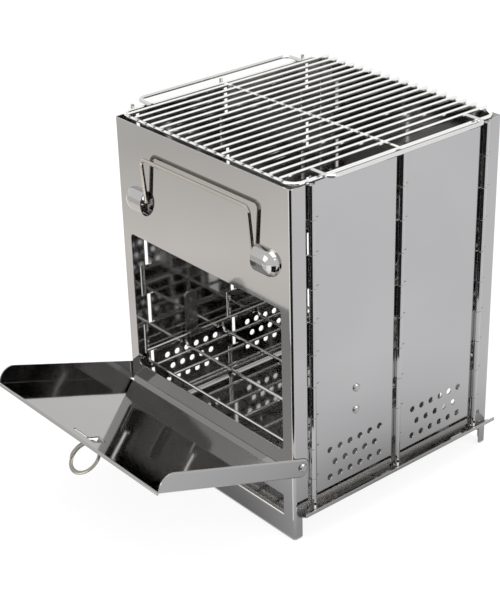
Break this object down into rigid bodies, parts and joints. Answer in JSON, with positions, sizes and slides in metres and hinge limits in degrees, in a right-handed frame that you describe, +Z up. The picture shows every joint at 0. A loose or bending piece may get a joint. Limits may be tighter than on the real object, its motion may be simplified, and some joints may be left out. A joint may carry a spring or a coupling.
{
  "type": "folding wood grill",
  "caption": "Folding sheet-metal wood stove with a lift-off wire grill, a drop-down feed door, a carrying bail and folding hinged side walls.",
  "frame": {"origin": "on the floor, in the middle of the four feet", "axes": "+Z up, -Y out through the feed door, +X to the right of someone who looks along +Y"},
  "size_m": [0.1952, 0.3022, 0.255],
  "materials": {
    "sheet": "satin stainless sheet, bright on the inner side",
    "tray_sheet": "satin stainless sheet",
    "door_sheet": "satin stainless sheet",
    "bracket_sheet": "satin stainless strip",
    "rivets": "plain steel rivets",
    "pins": "drawn steel wire",
    "ring": "bright drawn wire",
    "bail": "drawn steel wire",
    "bright_wire": "bright plated wire"
  },
  "bodies": {
    "front_frame": {"front_panel": "sheet", "bottom_tray": "tray_sheet", "left_door_rivet": "rivets", "right_door_rivet": "rivets", "left_front_pin": "pins", "right_front_pin": "pins"},
    "left_front_wall": {"left_front_leaf": "sheet", "left_middle_pin": "pins", "left_grate_bracket": "bracket_sheet", "left_bracket_rivets": "rivets"},
    "left_rear_wall": {"left_rear_leaf": "sheet"},
    "right_front_wall": {"right_front_leaf": "sheet", "right_middle_pin": "pins", "right_grate_bracket": "bracket_sheet", "right_bracket_rivets": "rivets"},
    "right_rear_wall": {"right_rear_leaf": "sheet"},
    "rear_frame": {"rear_panel": "sheet", "left_rear_pin": "pins", "right_rear_pin": "pins"},
    "feed_door": {"feed_door": "door_sheet"},
    "pull_ring": {"pull_ring": "ring"},
    "bail": {"bail_handle": "bail"},
    "cooking_grate": {"cooking_grate_frame": "bright_wire", "cooking_grate_rods": "bright_wire", "cooking_grate_crossbar": "bright_wire", "left_grate_handle": "bright_wire", "right_grate_handle": "bright_wire"},
    "fire_grate": {"fire_grate_frame": "bright_wire", "fire_grate_bars": "bright_wire", "fire_grate_rods": "bright_wire"}
  },
  "joints": [
    {"name": "left_front_fold", "type": "hinge", "parent": "front_frame", "child": "left_front_wall", "pos_m": [-0.08935, -0.0765, 0.135], "axis": [0, 0, -1], "range_deg": [-1.2, 0.3]},
    {"name": "left_middle_fold", "type": "hinge", "parent": "left_front_wall", "child": "left_rear_wall", "pos_m": [-0.08935, 0, 0.135], "axis": [0, 0, -1], "range_deg": [-0.6, 2.4]},
    {"name": "left_rear_fold", "type": "hinge", "parent": "left_rear_wall", "child": "rear_frame", "pos_m": [-0.08935, 0.0765, 0.135], "axis": [0, 0, -1], "range_deg": [-1.2, 0.3]},
    {"name": "right_front_fold", "type": "hinge", "parent": "front_frame", "child": "right_front_wall", "pos_m": [0.08935, -0.0765, 0.135], "axis": [0, 0, 1], "range_deg": [-1.2, 0.3]},
    {"name": "right_middle_fold", "type": "hinge", "parent": "right_front_wall", "child": "right_rear_wall", "pos_m": [0.08935, 0, 0.135], "axis": [0, 0, 1], "range_deg": [-0.6, 2.4]},
    {"name": "door_pivot", "type": "hinge", "parent": "front_frame", "child": "feed_door", "pos_m": [0, -0.086, 0.0554], "axis": [-1, 0, 0], "range_deg": [-19, 71]},
    {"name": "ring_swing", "type": "hinge", "parent": "feed_door", "child": "pull_ring", "pos_m": [0.01, -0.19058, 0.08126], "axis": [1, 0, 0], "range_deg": [-33, 123]},
    {"name": "bail_swing", "type": "hinge", "parent": "front_frame", "child": "bail", "pos_m": [0, -0.0942, 0.1975], "axis": [-1, 0, 0], "range_deg": [-165, 0]},
    {"name": "cooking_grate_lift", "type": "slide", "parent": "front_frame", "child": "cooking_grate", "axis": [0, 0, 1], "range_m": [0, 0.08]},
    {"name": "fire_grate_lift", "type": "slide", "parent": "front_frame", "child": "fire_grate", "axis": [0, 0, 1], "range_m": [0, 0.15]}
  ],
  "couplings": [
    {"joint": "left_middle_fold", "follows": "left_front_fold", "ratio": -2},
    {"joint": "left_rear_fold", "follows": "left_front_fold", "ratio": 1},
    {"joint": "right_front_fold", "follows": "left_front_fold", "ratio": 1},
    {"joint": "right_middle_fold", "follows": "left_front_fold", "ratio": -2}
  ]
}
